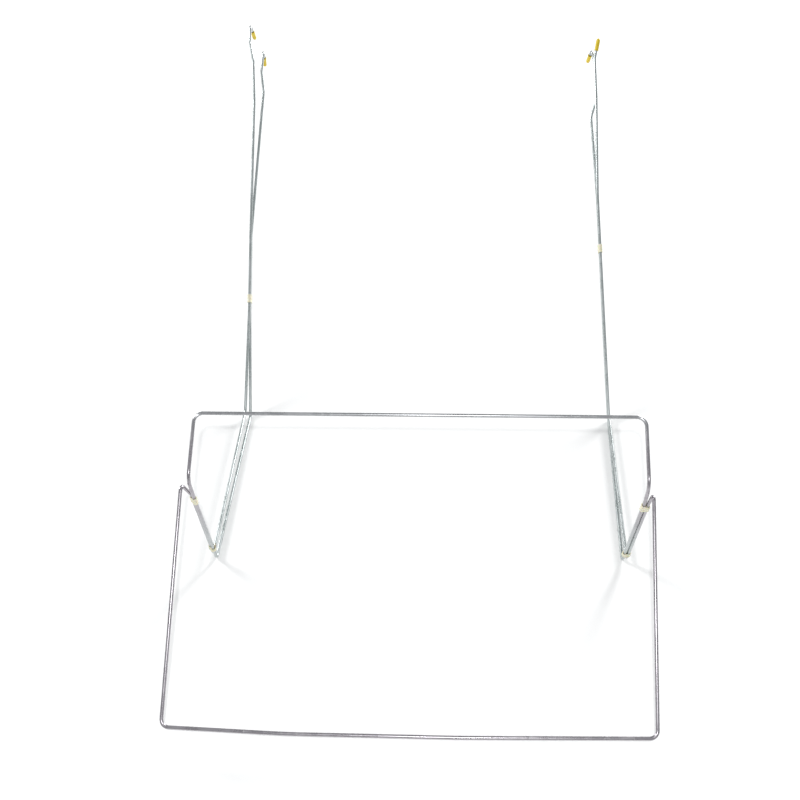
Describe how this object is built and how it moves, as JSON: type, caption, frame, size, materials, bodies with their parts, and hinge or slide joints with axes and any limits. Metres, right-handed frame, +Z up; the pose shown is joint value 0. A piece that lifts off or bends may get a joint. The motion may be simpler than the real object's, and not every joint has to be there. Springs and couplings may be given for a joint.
{
  "type": "hook-on wire frame",
  "caption": "Open support frame bent from two paired galvanised wires, with capped hooks on leaning uprights, a low front rail and an upper rail.",
  "frame": {"origin": "middle of the bounding box at floor level", "axes": "+X to the right seen from the front, +Y to the rear where the uprights lean, +Z up"},
  "size_m": [0.414, 0.762, 0.2777],
  "materials": {
    "galvanised_wire": "bright zinc coating, slightly uneven",
    "ivory_sleeve": "soft matte",
    "yellow_vinyl": "soft dipped vinyl"
  },
  "bodies": {
    "frame": {"front_rail_wire": "galvanised_wire", "top_rail_wire": "galvanised_wire", "left_outer_hook_cap": "yellow_vinyl", "left_inner_hook_cap": "yellow_vinyl", "right_inner_hook_cap": "yellow_vinyl", "right_outer_hook_cap": "yellow_vinyl"},
    "left_upright_sleeve": {"left_upright_sleeve": "ivory_sleeve"},
    "right_upright_sleeve": {"right_upright_sleeve": "ivory_sleeve"},
    "left_foot_sleeve": {"left_foot_sleeve": "ivory_sleeve"},
    "right_foot_sleeve": {"right_foot_sleeve": "ivory_sleeve"},
    "left_arm_sleeve": {"left_arm_sleeve": "ivory_sleeve"},
    "right_arm_sleeve": {"right_arm_sleeve": "ivory_sleeve"}
  },
  "joints": [
    {"name": "left_upright_slide", "type": "slide", "parent": "frame", "child": "left_upright_sleeve", "axis": [-0.0209, 0.8047, 0.5933], "range_m": [-0.004, 0.066]},
    {"name": "right_upright_slide", "type": "slide", "parent": "frame", "child": "right_upright_sleeve", "axis": [-0.0367, 0.8044, 0.593], "range_m": [-0.17, 0.054]},
    {"name": "left_foot_slide", "type": "slide", "parent": "frame", "child": "left_foot_sleeve", "axis": [0.0239, -0.1434, 0.9894], "range_m": [-0.003, 0.042]},
    {"name": "right_foot_slide", "type": "slide", "parent": "frame", "child": "right_foot_sleeve", "axis": [0.0059, -0.1946, 0.9809], "range_m": [0, 0.042]},
    {"name": "left_arm_slide", "type": "slide", "parent": "frame", "child": "left_arm_sleeve", "axis": [0.0239, -0.1434, 0.9894], "range_m": [-0.038, 0.001]},
    {"name": "right_arm_slide", "type": "slide", "parent": "frame", "child": "right_arm_sleeve", "axis": [0.0059, -0.1946, 0.9809], "range_m": [-0.038, 0.001]}
  ]
}
